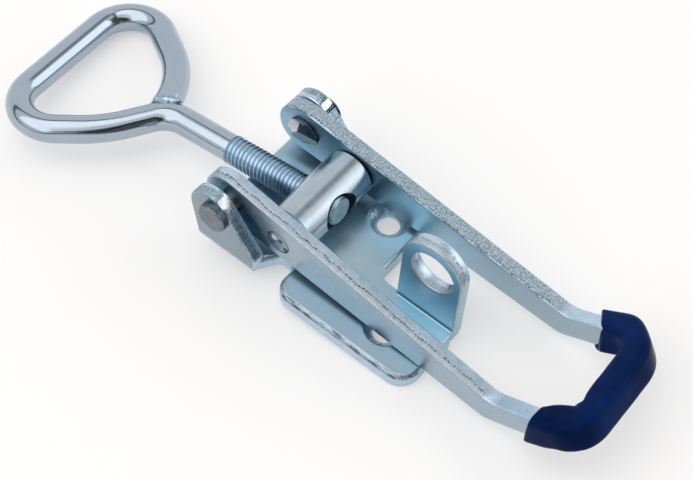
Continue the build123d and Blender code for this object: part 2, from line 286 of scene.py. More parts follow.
# the sheet was punched before it was folded, so the torn band is on the outer side of arms and ears
tornEdge = {
    "bothSides": True, "across": (0, 1, 0), "start": 17.9 * mm, "sheet": 4.0 * mm, "tear": 0.62,
    "waveScale": 260, "wander": 0.12, "tearEdge": (0.04, 0.05),
    "strokes": (1, 0.12, 0.25), "strokeScale": 2600, "pitScale": 3000, "roughRange": (0.16, 0.34),
    "darkTint": (0.37, 0.445, 0.51), "lightTint": (0.50, 0.59, 0.665), "duller": 0.12, "height": 0.08,
    "lineWidth": 0.12, "lineBreaks": (0.42, 0.56), "lineLeft": 0.15, "lineColour": (0.06, 0.07, 0.08),
    "lineStrength": 0.95, "lineDepth": 0.06}
cutLook = {"lightTint": (0.53, 0.66, 0.79), "darkTint": (0.475, 0.605, 0.735), "driftScale": 220, "grainScale": 2400,
           "grainShade": 0.10, "roughness": (0.26, 0.40), "grainHeight": 0.05, "stretch": (1, 0.5, 0.5)}

zincCut = zincFinish("zincCut", cutLook)
zincPressed = zincFinish("zincPressed", {  # rolled faces of the plate and the lever
    "lightTint": (0.305, 0.375, 0.435), "darkTint": (0.265, 0.335, 0.40), "driftScale": 130, "grainScale": 1500,
    "grainShade": 0.03, "roughness": (0.26, 0.34), "grainHeight": 0.0015})
zincArmSide = zincFinish("zincArmSide", {  # outer sides of the lever's arms
    "lightTint": (0.40, 0.49, 0.57), "darkTint": (0.36, 0.455, 0.54), "driftScale": 90, "grainScale": 1500,
    "grainShade": 0.03, "roughness": (0.26, 0.34), "grainHeight": 0.0015})
# faces inside the channel, tinted bluer than the outer faces
insideLook = {
    "lightTint": (0.405, 0.59, 0.70), "darkTint": (0.335, 0.535, 0.655), "driftScale": 110, "grainScale": 1500,
    "grainShade": 0.03, "roughness": (0.27, 0.37), "grainHeight": 0.0015}
zincTabSide = zincFinish("zincTabSide", {
    **insideLook, "lightTint": (0.42, 0.67, 0.81), "darkTint": (0.35, 0.61, 0.76)})
zincPlateTop = zincFinish("zincPlateTop", {
    **insideLook, "lightTint": (0.40, 0.54, 0.625), "darkTint": (0.33, 0.485, 0.585),
    "fade": {"axis": "Y", "start": 15 * mm, "end": 25 * mm, "tint": (0.36, 0.44, 0.50)}})
zincLeverInside = zincFinish("zincLeverInside", {
    **insideLook, "fade": {"axis": "X", "start": 35 * mm, "end": 78 * mm, "tint": (0.355, 0.45, 0.52)}})
# the arms splay and lean a little, so depth across them is measured along their own thickness
armTear = {**tornEdge, "across": (-0.01672, 1, -0.00908), "start": 12.164 * mm, "sheet": 4.2 * mm}
zincArmEdge = zincFinish("zincArmEdge", {**cutLook, "torn": armTear})
zincFarArmEdge = zincFinish("zincFarArmEdge", {**cutLook, "torn": {
    **armTear, "tear": 0.10, "darkTint": (0.18, 0.25, 0.30), "lightTint": (0.54, 0.67, 0.77),
    "strokes": (1.3, 0.6, 1.3)}})
zincEarEdge = zincFinish("zincEarEdge", {**cutLook, "roughness": (0.18, 0.28), "torn": {
    **tornEdge, "tear": 0.40, "darkTint": (0.13, 0.23, 0.30), "lightTint": (0.44, 0.56, 0.64),
    "lineStrength": 0.4}})
zincTabEdge = zincFinish("zincTabEdge", {**cutLook, "torn": {
    **tornEdge, "bothSides": False, "across": (0, -1, 0), "start": 0.07 * mm, "tear": 0.55, "lineStrength": 0.5}})
zincRolled = zincFinish("zincRolled", {  # rolled-over rim of the flanges, dark along the die line with marks that are partly scuffs and partly painted dark reflection
    "lightTint": (0.38, 0.47, 0.55), "darkTint": (0.32, 0.41, 0.49), "driftScale": 300, "grainScale": 1800,
    "grainShade": 0.08, "roughness": (0.4, 0.5), "grainHeight": 0.02,
    "marks": {"stretch": (0.3, 1, 1), "scale": 800, "start": 0.50, "edge": 0.05, "strength": 0.85,
              "colour": (0.10, 0.12, 0.15), "depth": 0.05}})
zincRod = zincFinish("zincRod", {  # bright drawn rod
    "lightTint": (0.40, 0.47, 0.545), "darkTint": (0.375, 0.45, 0.53), "driftScale": 120, "grainScale": 1200,
    "grainShade": 0.02, "roughness": (0.08, 0.13), "grainHeight": 0.003})
zincTurned = zincFinish("zincTurned", {  # turned barrel with fine rings round it
    "lightTint": (0.455, 0.54, 0.61), "darkTint": (0.41, 0.50, 0.58), "driftScale": 200, "grainScale": 3600,
    "grainShade": 0.06, "stretch": (0.06, 1, 0.06), "roughness": (0.13, 0.24), "grainHeight": 0.03})
zincThread = zincFinish("zincThread", {  # rolled thread
    "lightTint": (0.47, 0.60, 0.73), "darkTint": (0.39, 0.54, 0.67), "driftScale": 300, "grainScale": 1500,
    "grainShade": 0.05, "roughness": (0.28, 0.40), "grainHeight": 0.02})
zincMouthShade = zincFinish("zincMouthShade", {  # painted shade: the mouth of the tapped hole is coloured near black for the shade inside it
    "lightTint": (0.030, 0.045, 0.075), "darkTint": (0.014, 0.022, 0.042), "driftScale": 500, "grainScale": 1500,
    "grainShade": 0.1, "roughness": (0.35, 0.5), "grainHeight": 0.02})
zincStruck = zincFinish("zincStruck", {  # dull struck rivet
    "lightTint": (0.22, 0.25, 0.29), "darkTint": (0.155, 0.175, 0.215), "driftScale": 420, "grainScale": 1300,
    "grainShade": 0.10, "roughness": (0.28, 0.42), "grainHeight": 0.06})
zincBurnishAndHighlight = zincFinish("zincBurnishAndHighlight", {  # bright facet of a struck head, partly burnished and partly a painted highlight
    "lightTint": (0.84, 0.90, 0.92), "darkTint": (0.62, 0.69, 0.73), "driftScale": 700, "grainScale": 1500,
    "grainShade": 0.10, "roughness": (0.25, 0.38), "grainHeight": 0.05})
zincPaintedShade = zincFinish("zincPaintedShade", {  # painted shade on the rims and dark facets of struck heads and in the punched pits
    "lightTint": (0.16, 0.21, 0.26), "darkTint": (0.06, 0.08, 0.11), "driftScale": 900, "grainScale": 1500,
    "grainShade": 0.10, "roughness": (0.3, 0.45), "grainHeight": 0.03})
zincEnd = zincFinish("zincEnd", {  # sawn end of the thread
    "lightTint": (0.56, 0.72, 0.80), "darkTint": (0.38, 0.54, 0.64), "driftScale": 700, "grainScale": 1800,
    "grainShade": 0.12, "roughness": (0.5, 0.6), "grainHeight": 0.06})
zincWeld = zincFinish("zincWeld", {  # weld bead
    "lightTint": (0.46, 0.58, 0.67), "darkTint": (0.26, 0.37, 0.46), "driftScale": 500, "grainScale": 900,
    "grainShade": 0.06, "roughness": (0.12, 0.24), "grainHeight": 0.10})


# soft dipped coat, a little uneven
coatLook = {
    "deep": (0.0023, 0.0092, 0.048), "bright": (0.0042, 0.0205, 0.104),
    "specular": 0.03, "specularTint": (0.12, 0.34, 1.0), "roughness": (0.16, 0.26),
    "swellScale": 75, "swellHeight": 0.10, "fineScale": 900, "fineHeight": 0.004}


def dipFinish(name, look):
    material = bpy.data.materials.new(name)
    material.use_nodes = True
    tree = material.node_tree
    shader = tree.nodes["Principled BSDF"]
    shader.inputs["Specular IOR Level"].default_value = look["specular"]
    shader.inputs["Specular Tint"].default_value = (*look["specularTint"], 1)
    place = addNode(tree, "ShaderNodeTexCoord", (-1100, 0)).outputs["Object"]
    swell = noiseNode(tree, (-850, 0), place, look["swellScale"], 2.0)
    fine = noiseNode(tree, (-850, -300), place, look["fineScale"], 3.0)
    tree.links.new(rampNode(tree, (-600, 200), swell, look["deep"], look["bright"]), shader.inputs["Base Color"])
    tree.links.new(rangeNode(tree, (-600, -50), fine, 0.3, 0.7, *look["roughness"]), shader.inputs["Roughness"])
    bump = addNode(tree, "ShaderNodeBump", (-300, -250), Strength=1.0, Distance=mm)
    swellLift = mathNode(tree, "MULTIPLY", (-600, -250), swell, look["swellHeight"])
    fineLift = mathNode(tree, "MULTIPLY", (-600, -400), fine, look["fineHeight"])
    tree.links.new(mathNode(tree, "ADD", (-450, -250), swellLift, fineLift), bump.inputs["Height"])
    tree.links.new(bump.outputs["Normal"], shader.inputs["Normal"])
    return material


dippedNavy = dipFinish("dippedNavy", coatLook)
print("finishes made")


# Base plate

plateShape = {
    "earInside": 17.9 * mm, "earOutside": 21.9 * mm,
    "crownBase": 9 * mm, "crownReach": 14 * mm,  # an ear's crown is higher than the one and ahead of the other
    "facets": ((-1, 0.60, 0.30 * mm), (1, 0.50, 0.12 * mm)),  # side, slope towards the rear, depth of the flat
    "uprightBase": 4.5 * mm, "rollBase": 2.7 * mm, "rollSlope": (0.12, 0.97), "flangeStart": 20.3 * mm,
    "rimReach": 14 * mm, "sideTilt": 0.8, "topTilt": 0.9, "rimTilt": 0.2, "facetMatch": 0.9995,
    "slack": 0.2 * mm, "smoothAngle": 50}


def facetFacing(slope):
    return Vector((slope, 0, sqrt(1 - slope * slope)))


def plateFinish(face):
    look = plateShape
    place, normal = face.center, face.normal
    aside = abs(place.y)
    if place.z > look["uprightBase"]:
        if abs(normal.y) > look["sideTilt"]:
            return zincPressed if aside > look["earOutside"] - look["slack"] else zincTabSide
        if aside > look["earInside"] - mm:
            # the flat on each ear's crown is burnished and also carries a painted highlight
            slope = next(slope for side, slope, depth in look["facets"] if side * place.y > 0)
            return zincBurnishAndHighlight if normal.dot(facetFacing(slope)) > look["facetMatch"] else zincEarEdge
        return zincTabEdge
    rollSlope = look["rollSlope"]
    if rollSlope[0] < normal.z < rollSlope[1] and place.z > look["rollBase"] and place.x > look["flangeStart"]:
        return zincRolled if aside > look["earInside"] else zincPlateTop
    if abs(normal.z) < look["rimTilt"] and aside > look["rimReach"]:
        return zincCut
    return zincPlateTop if normal.z > look["topTilt"] or aside < look["earInside"] else zincPressed


def makeBasePlate():
    look = plateShape
    piece = copyOfNode("base_plate", "pressedPlate")
    for side, slope, depth in look["facets"]:  # one flat on the crown of each ear
        facing = facetFacing(slope)
        reach = max(vertex.co.dot(facing) for vertex in piece.data.vertices
                    if side * vertex.co.y > look["earInside"] - look["slack"] and vertex.co.x < look["crownReach"])
        selectParts(piece, "FACE", lambda face: side * face.center.y > look["earInside"] - 0.5 * mm and
                    face.center.z > look["crownBase"])
        bpy.ops.mesh.bisect(plane_co=facing * (reach - depth), plane_no=facing, clear_outer=True, use_fill=True)
        bpy.ops.object.mode_set(mode="OBJECT")
    finishes = [zincPressed, zincEarEdge, zincTabEdge, zincRolled, zincCut, zincPlateTop, zincBurnishAndHighlight, zincTabSide]
    dress(piece, "base", finishes, ["base_plate"])
    paint(piece, finishes, plateFinish)
    smooth(piece, look["smoothAngle"], weighted=True)


makeBasePlate()
print("base plate done")


# Lever

leverShape = {"crankStart": 80 * mm, "sideTilt": 0.8, "smoothAngle": 50}


def leverFinish(face):
    look = leverShape
    if abs(face.normal.y) < look["sideTilt"]:
        if face.center.x >= look["crankStart"]:
            return zincCut
        return zincFarArmEdge if face.center.y > 0 else zincArmEdge
    return zincLeverInside if face.normal.y * face.center.y < 0 else zincArmSide


def makeLever():
    piece = copyOfNode("lever", "crankedLever")
    finishes = [zincArmSide, zincArmEdge, zincCut, zincFarArmEdge, zincLeverInside]
    dress(piece, "lever", finishes, ["lever"])
    paint(piece, finishes, leverFinish)
    smooth(piece, leverShape["smoothAngle"], weighted=True)


makeLever()
print("lever done")


# Pivot rivets

rivetShape = {
    "apex": (-0.8 * mm, 10.75 * mm, 15.6 * mm),  # highest point of the inner head, Y outwards
    "slopes": {"bright": (-0.22, 0.10), "dark": (0.17, 0.10), "dull": (0.16, -0.26)},  # fall along X and Z
    "rimTilt": 0.3, "facetMatch": 0.999, "smoothAngle": 12}


def makeRivet(side):
    look = rivetShape
    piece = copyOfNode("pivot_rivet_" + side, side + "Rivet")
    outwards = -1 if side == "near" else 1
    apexX, apexY, apexZ = look["apex"]
    facings = {name: Vector((slopeX, -outwards, slopeZ)) for name, (slopeX, slopeZ) in look["slopes"].items()}
    for facing in facings.values():  # the hammered facets of the inner head
        selectParts(piece, "FACE", lambda face: True)
        bpy.ops.mesh.bisect(plane_co=(apexX, outwards * apexY, apexZ), plane_no=facing, clear_outer=True, use_fill=True)
        bpy.ops.object.mode_set(mode="OBJECT")

    def isFacet(face, name):
        return face.normal.dot(facings[name].normalized()) > look["facetMatch"]

    def rivetFinish(face):
        # painted shade on the rim and the dark facet, painted highlight on the bright facet, the rest keeps the dull
        # struck finish
        if abs(face.normal.y) < look["rimTilt"] or isFacet(face, "dark"):
            return zincPaintedShade
        return zincBurnishAndHighlight if isFacet(face, "bright") else zincStruck

    finishes = [zincStruck, zincBurnishAndHighlight, zincPaintedShade]
    dress(piece, "base", finishes, ["pivot_rivet_" + side])
    paint(piece, finishes, rivetFinish)
    smooth(piece, look["smoothAngle"])


makeRivet("near")
makeRivet("far")
print("rivets done")


# Cross barrel

barrelShape = {
    "centre": (16.0 * mm, 0, 12.7 * mm), "holeAlong": (-0.98568, 0, -0.16862), "mouth": 6.0 * mm,
    "bodyEnd": 12 * mm, "spigotStart": 15.6 * mm, "spigotEnd": 16.4 * mm, "spigotBevel": 0.4 * mm,
    "darkStakes": ((-3.0 * mm, 0.5 * mm), (0.5 * mm, 1.0 * mm), (2.5 * mm, -1.3 * mm)),
    "brightStake": (-1.3 * mm, 0.9 * mm),
    "stakeSides": 5, "stakeSize": 1.9 * mm, "stakeTip": 0.15 * mm, "stakeDepth": 0.6 * mm, "brightReach": 1.3 * mm,
    "endTilt": 0.97, "mouthTilt": 0.9, "smoothAngle": 30}


def cutStake(piece, offset, side, endY):  # one blow of the chisel that holds the lever on the barrel
    look = barrelShape
    x, _, z = look["centre"]
    bpy.ops.mesh.primitive_cone_add(vertices=look["stakeSides"], radius1=look["stakeSize"], radius2=look["stakeTip"],
                                    depth=look["stakeDepth"] * 2)
    punch = newest("punch")
    lay = Matrix(((1, 0, 0), (0, 0, -side), (0, side, 0))).to_4x4()
    punch.data.transform(Matrix.Translation((x + offset[0], endY, z + offset[1])) @ lay)
    applyModifier(piece, "BOOLEAN", object=punch, operation="DIFFERENCE", solver="EXACT")
    bpy.data.objects.remove(punch)


def barrelFinish(face):
    look = barrelShape
    place = face.center - Vector(look["centre"])
    along = Vector(look["holeAlong"])
    level = Vector((place.x, 0, place.z))
    # on the staked ends, painted shade on the pits and the bevel ring, painted highlight on the bright stake
    if abs(place.y) > look["spigotStart"]:
        if abs(face.normal.y) > look["endTilt"]:
            return zincPressed
        brightX, brightZ = look["brightStake"]
        return zincBurnishAndHighlight if (level - Vector((brightX, 0, brightZ))).length < look["brightReach"] else zincPaintedShade
    if abs(place.y) > look["bodyEnd"]:
        return zincPressed
    fromBore = (place - along * place.dot(along)).length
    # painted shade: the mouth's cone and bore take the near black finish
    if fromBore < look["mouth"] and face.normal.dot(level.normalized()) < look["mouthTilt"]:
        return zincMouthShade
    return zincTurned


def makeBarrel():
    look = barrelShape
    piece = copyOfNode("cross_barrel", "turnedBarrel")
    for side in (-1, 1):
        endY = side * max(side * vertex.co.y for vertex in piece.data.vertices)
        selectParts(piece, "FACE", lambda face: face.normal.y * side > 0.9 and side * face.center.y > look["spigotEnd"])
        bpy.ops.mesh.bevel(offset=look["spigotBevel"], segments=2, affect="EDGES")
        bpy.ops.object.mode_set(mode="OBJECT")
        for offset in (*look["darkStakes"], look["brightStake"]):
            cutStake(piece, offset, side, endY)
    finishes = [zincTurned, zincPressed, zincMouthShade, zincPaintedShade, zincBurnishAndHighlight]
    dress(piece, "barrel", finishes, ["cross_barrel"])
    paint(piece, finishes, barrelFinish)
    smooth(piece, look["smoothAngle"])


makeBarrel()
print("barrel done")


# Eye bolt: runs are lengths along the bolt from the barrel's axis, offsets go across it in the plane of the eye

boltShape = {
    "root": barrelShape["centre"], "along": barrelShape["holeAlong"], "across": (0.016455, 0.995227, -0.096186),
    "threadEnd": 29.8 * mm, "tail": -6.2 * mm, "rodOverlap": 0.3 * mm, "pitch": 1.25 * mm, "crestRadius": 3.95 * mm,
    "rootRadius": 3.3 * mm, "rootShare": 0.25, "flankLean": 0.58, "threadSteps": 40, "trimSteps": 96,
    "endBevel": 0.4 * mm, "endMatch": 0.95, "eyeSmooth": 40, "threadSmooth": 35}
weldShape = {
    "line": ((55.7 * mm, -0.1 * mm), (50.9 * mm, 2.4 * mm)), "height": 3.0 * mm, "size": (4.1, 1.25, 1.0),
    "ripple": 0.5 * mm, "rippleScale": 1.6 * mm}


def boltPoint(run, offset=0.0):
    return Vector(boltShape["root"]) + Vector(boltShape["along"]) * run + Vector(boltShape["across"]) * offset


def makeEye():
    look = boltShape
    piece = copyOfNode("eye_bolt", "bentEye")
    selectParts(piece, "FACE", lambda face: True)
    cut = boltPoint(look["threadEnd"] - look["rodOverlap"])
    bpy.ops.mesh.bisect(plane_co=cut, plane_no=look["along"], clear_inner=True, use_fill=True)
    bpy.ops.object.mode_set(mode="OBJECT")
    smooth(piece, look["eyeSmooth"])
    dress(piece, "bolt", [zincRod], ["eye_bolt"])


def makeThread():
    look = boltShape
    pitch, ridge = look["pitch"], look["crestRadius"] - look["rootRadius"]
    length = look["threadEnd"] - look["tail"]
    turns = int(length / pitch) + 2
    start = look["tail"] - pitch
    flank = ridge * look["flankLean"]
    bpy.ops.mesh.primitive_plane_add(size=mm)
    piece = newest("rolledThread")
    bpy.ops.object.mode_set(mode="EDIT")
    bpy.ops.mesh.select_mode(type="VERT")
    bpy.ops.mesh.select_all(action="SELECT")
    bpy.ops.mesh.merge(type="CENTER")
    bpy.ops.mesh.select_all(action="SELECT")
    bpy.ops.transform.translate(value=(look["rootRadius"], 0, start))
    rootFlat = pitch * look["rootShare"]
    steps = [(0, rootFlat), (ridge, flank), (0, pitch - rootFlat - 2 * flank), (-ridge, flank)]
    for outwards, onwards in steps:
        bpy.ops.mesh.extrude_region_move(TRANSFORM_OT_translate={"value": (outwards, 0, onwards)})
    bpy.ops.object.mode_set(mode="OBJECT")
    applyModifier(piece, "SCREW", axis="Z", angle=2 * pi, screw_offset=pitch, iterations=turns,
                  steps=look["threadSteps"], render_steps=look["threadSteps"], use_smooth_shade=True)
    selectParts(piece, "VERT", lambda vertex: True)
    bpy.ops.mesh.remove_doubles(threshold=0.002 * mm)
    for run, away in ((look["tail"], -1), (look["threadEnd"], 1)):
        bpy.ops.mesh.select_all(action="SELECT")
        bpy.ops.mesh.bisect(plane_co=(0, 0, run), plane_no=(0, 0, away), clear_outer=True, use_fill=True)
    bpy.ops.mesh.select_all(action="SELECT")
    bpy.ops.mesh.normals_make_consistent(inside=False)
    bpy.ops.object.mode_set(mode="OBJECT")

    # a bevelled cylinder just over the crests rounds off both ends of the thread
    bpy.ops.mesh.primitive_cylinder_add(
        vertices=look["trimSteps"], radius=look["crestRadius"] + 0.002 * mm, depth=length - 0.01 * mm,
        location=(0, 0, look["tail"] + length / 2))
    trim = newest("threadTrim")
    bakePlace(trim)
    selectParts(trim, "FACE", lambda face: abs(face.normal.z) > 0.9)
    bpy.ops.mesh.bevel(offset=look["endBevel"], segments=1, affect="EDGES")
    bpy.ops.object.mode_set(mode="OBJECT")
    applyModifier(piece, "BOOLEAN", object=trim, operation="INTERSECT", solver="EXACT")
    bpy.data.objects.remove(trim)

    along, across = Vector(look["along"]), Vector(look["across"])
    turn = Matrix((across.cross(along), across, along)).transposed().to_4x4()
    piece.data.transform(Matrix.Translation(look["root"]) @ turn)
    smooth(piece, look["threadSmooth"])
    finishes = [zincThread, zincEnd]
    dress(piece, "bolt", finishes)
    paint(piece, finishes, lambda face: zincEnd if face.normal.dot(along) < -look["endMatch"] else zincThread)


def makeWeld():  # the bead where the far leg of the eye meets the rod
    look = weldShape
    bpy.ops.mesh.primitive_ico_sphere_add(subdivisions=4, radius=mm)
    piece = newest("weldBead")
    bpy.ops.object.mode_set(mode="EDIT")
    bpy.ops.mesh.select_all(action="SELECT")
    bpy.ops.transform.resize(value=look["size"])
    bpy.ops.object.mode_set(mode="OBJECT")
    clouds = bpy.data.textures.new("weldRipple", "CLOUDS")
    clouds.noise_scale = look["rippleScale"]
    applyModifier(piece, "DISPLACE", texture=clouds, texture_coords="LOCAL", strength=look["ripple"], mid_level=0.5)
    start, end = [boltPoint(*place) for place in look["line"]]
    lift = Vector(boltShape["along"]).cross(Vector(boltShape["across"])).normalized()
    lift = lift if lift.z > 0 else -lift
    run = (end - start).normalized()
    turn = Matrix((run, lift.cross(run), lift)).transposed().to_4x4()
    piece.data.transform(Matrix.Translation((start + end) / 2 + lift * look["height"]) @ turn)
    pick(piece)
    bpy.ops.object.shade_smooth()
    dress(piece, "bolt", [zincWeld])


makeEye()
makeThread()
makeWeld()
print("eye bolt done")


# Dipped grip, worked flat: X along the risen handle, Y across the arms, Z out of the plane of the U

gripShape = {
    "origin": (82.55 * mm, 0, 7.265 * mm), "rise": 28.5, "arm": 16.2 * mm, "bar": 26.7 * mm, "skew": 0.9 * mm,
    "nearBend": 6.1 * mm, "farBend": 8.6 * mm, "bendSteps": 9, "armParts": 2, "barParts": 6,
    "halfWidth": 3.4 * mm, "halfDepth": 4.7 * mm, "corner": 2.3 * mm, "cornerSteps": 5,
    "barFuller": 1.2 * mm, "farFuller": (1, 1.03, 1.03),
    "nearStart": 13.5 * mm, "farStart": 9.6 * mm, "firstLength": 0.8 * mm,  # the dip lines and their first ring
    "nearLean": -23.0, "farLean": -16.0, "farSlant": 45.0, "nearDrip": 0.7 * mm, "farDrip": 2.2 * mm,
    # where the coat gathered or ran thin: how far it is moved, and how far round it follows
    "web": (0.8 * mm, 2.7 * mm, 0), "webReach": 7.0 * mm, "sag": (0, -0.3 * mm, -1.3 * mm), "sagReach": 6.5 * mm,
    "farSwell": (-0.3 * mm, 1.3 * mm, 0), "farThin": (0, -0.5 * mm, -0.3 * mm), "farReach": 6.0 * mm,
    "webSpan": (1.5 * mm, 1.2 * mm), "farEdge": 18.5 * mm, "farEdgeSpan": 2.5 * mm, "dripSpan": (3 * mm, 0.4 * mm),
    "slack": 0.3 * mm,  # how far a point may lie from the place that it is chosen by
    "swell": 0.28 * mm, "swellScale": 8 * mm, "swellMiddle": 0.6}


def dipTube():  # a rounded section carried up the near arm, over the bar and back down the far arm
    look = gripShape
    firstLength = look["firstLength"]
    nearBar, farBar = look["bar"] + look["skew"] / 2, look["bar"] - look["skew"] / 2
    bpy.ops.mesh.primitive_cube_add(size=1, location=(look["nearStart"] + firstLength / 2, -look["arm"], 0),
                                    scale=(firstLength, 2 * look["halfWidth"], 2 * look["halfDepth"]))
    piece = newest("dippedGrip")
    bakePlace(piece)

    def runsAlong(edge):
        first, second = [piece.data.vertices[index].co.x for index in edge.vertices]
        return abs(first - second) > look["slack"]

    selectParts(piece, "EDGE", runsAlong)
    bpy.ops.mesh.bevel(offset=look["corner"], segments=look["cornerSteps"], affect="EDGES")
    bpy.ops.object.mode_set(mode="OBJECT")
    selectParts(piece, "FACE", lambda face: face.normal.x > 0.9)
    straight = nearBar - look["nearBend"] - look["nearStart"] - firstLength
    for part in range(look["armParts"]):
        bpy.ops.mesh.extrude_region_move(TRANSFORM_OT_translate={"value": (straight / look["armParts"], 0, 0)})
    bpy.ops.mesh.spin(steps=look["bendSteps"], angle=-pi / 2, axis=(0, 0, 1),
                      center=(nearBar - look["nearBend"], look["nearBend"] - look["arm"], 0))
    across = 2 * look["arm"] - look["nearBend"] - look["farBend"]
    for part in range(look["barParts"]):
        bpy.ops.mesh.extrude_region_move(TRANSFORM_OT_translate={
            "value": (-look["skew"] / look["barParts"], across / look["barParts"], 0)})
    bpy.ops.mesh.spin(steps=look["bendSteps"], angle=-pi / 2, axis=(0, 0, 1),
                      center=(farBar - look["farBend"], look["arm"] - look["farBend"], 0))
    back = farBar - look["farBend"] - look["farStart"]
    for length in (back - firstLength, firstLength):
        bpy.ops.mesh.extrude_region_move(TRANSFORM_OT_translate={"value": (-length, 0, 0)})
    bpy.ops.mesh.select_all(action="SELECT")
    bpy.ops.mesh.remove_doubles(threshold=0.01 * mm)
    bpy.ops.mesh.normals_make_consistent(inside=False)
    bpy.ops.object.mode_set(mode="OBJECT")
    return piece


# fuller inside the bar, a web in the near corner, a sag below the near end, a swell outside the far end
def gatherCoat(piece):
    look = gripShape
    inside = look["arm"] - look["halfWidth"] - 0.1 * mm
    outside = look["arm"] + look["halfWidth"]
    bend = look["bar"] + look["skew"] / 2 - look["nearBend"]
    selectParts(piece, "VERT", lambda vertex: abs(vertex.co.y) < inside and vertex.co.x < look["bar"] - mm)
    bpy.ops.transform.translate(value=(-look["barFuller"], 0, 0))
    bpy.ops.object.mode_set(mode="OBJECT")
    spanX, spanY = look["webSpan"]
    moves = (
        ("web", "webReach", lambda place: abs(place.x - bend) < spanX and abs(place.y + inside) < spanY),
        ("sag", "sagReach", lambda place: place.x < look["nearStart"] + mm and place.y < 0 and
         place.z < -look["halfDepth"] + look["slack"]),
        ("farSwell", "farReach", lambda place: abs(place.x - look["farEdge"]) < look["farEdgeSpan"] and
         place.y > outside - mm),
        ("farThin", "farReach", lambda place: place.x < look["farStart"] + mm and place.y > outside - look["slack"]))
    for shift, reach, isThere in moves:
        selectParts(piece, "VERT", lambda vertex: isThere(vertex.co))
        bpy.ops.transform.translate(value=look[shift], use_proportional_edit=True, proportional_edit_falloff="SMOOTH",
                                    proportional_size=look[reach])
        bpy.ops.object.mode_set(mode="OBJECT")


def leanDipLine(piece, side, start, lean, slant, drip):
    look = gripShape
    rings = [(place, {vertex.index for vertex in piece.data.vertices if abs(vertex.co.x - place) < look["slack"] and
                      vertex.co.y * side > 0}) for place in (start, start + look["firstLength"])]
    for place, ring in rings:
        selectParts(piece, "VERT", lambda vertex: vertex.index in ring)
        middle = (place, side * look["arm"], 0)
        bpy.ops.transform.rotate(value=radians(lean), orient_axis="Y", orient_type="GLOBAL", center_override=middle)
        if slant:  # the dip line also runs back towards the outside
            bpy.ops.transform.rotate(value=-radians(slant), orient_axis="Z", orient_type="GLOBAL",
                                     center_override=middle)
            bpy.ops.transform.resize(value=(1, 1 / cos(radians(slant)), 1), center_override=middle)
        bpy.ops.object.mode_set(mode="OBJECT")
    before, after = look["dripSpan"]
    middleY, low = side * look["arm"], -look["halfDepth"] + look["corner"] + 0.2 * mm
    selectParts(piece, "VERT", lambda vertex: start - before < vertex.co.x < start + after and vertex.co.z < low and
                vertex.co.y * side > 0 and vertex.co.y < middleY)
    bpy.ops.transform.translate(value=(-drip, 0, 0))
    bpy.ops.object.mode_set(mode="OBJECT")


def makeGrip():
    look = gripShape
    piece = dipTube()
    gatherCoat(piece)
    leanDipLine(piece, -1, look["nearStart"], look["nearLean"], 0, look["nearDrip"])
    leanDipLine(piece, 1, look["farStart"], look["farLean"], look["farSlant"], look["farDrip"])
    farInside = look["arm"] - look["halfWidth"]
    selectParts(piece, "VERT", lambda vertex: vertex.co.y > farInside - 0.1 * mm)
    bpy.ops.transform.resize(value=look["farFuller"], center_override=(look["bar"], farInside, 0))
    bpy.ops.object.mode_set(mode="OBJECT")
    applyModifier(piece, "SUBSURF", levels=2, render_levels=2)
    clouds = bpy.data.textures.new("dipSwell", "CLOUDS")
    clouds.noise_scale = look["swellScale"]
    applyModifier(piece, "DISPLACE", texture=clouds, texture_coords="LOCAL", strength=look["swell"],
                  mid_level=look["swellMiddle"])
    rise = Matrix.Rotation(-radians(look["rise"]), 4, "Y")
    piece.data.transform(Matrix.Translation(look["origin"]) @ rise)
    pick(piece)
    bpy.ops.object.shade_smooth()
    dress(piece, "lever", [dippedNavy], ["handle_grip"])


makeGrip()
print("grip done")


# Floor, light and camera: azimuths run from +X towards +Y, all angles are in degrees

floorPlace = {  # the floor touches the plate's rear edge and the underside of the eye
    "rear": (62.7 * mm, 0.0), "eye": (-71.5 * mm, -8.0 * mm), "drop": 0.02 * mm, "size": 6.0,
    "colour": (0.595, 0.60, 0.607), "lift": 0.38}
roomLook = {
    "surround": 0.92,
    # what the metal reflects: azimuth, elevation, inner and outer reach, share of the surround left
    "spots": ((-25, 42, 28, 46, 0.13), (90, 58, 8, 16, 0.40)),
    "ring": (-115, 52, 48.5, 57.5, 0.20), "ringEdge": (0.3, 0.5)}
softboxes = {
    "aim": (20 * mm, 0, 5 * mm), "distance": 0.8,
    # name, azimuth, elevation, width, height, roll, radiance, colour
    "lamps": (("leftSoftbox", -118, 62, 1.1, 1.35, 0, 0.90, (1.0, 0.92, 0.86)),
              ("rightSoftbox", 50, 30, 0.635, 0.55, 15, 1.0, (1.0, 0.93, 0.88)))}
cameraPlace = {
    "azimuth": -55.6285, "elevation": 56.5994, "roll": 5.8141, "target": (23.618 * mm, 1.899 * mm, 0),
    "distance": 527.32 * mm, "focal": 2057.96, "frameWidth": 693, "sensor": 36}  # focal and frameWidth in pixels


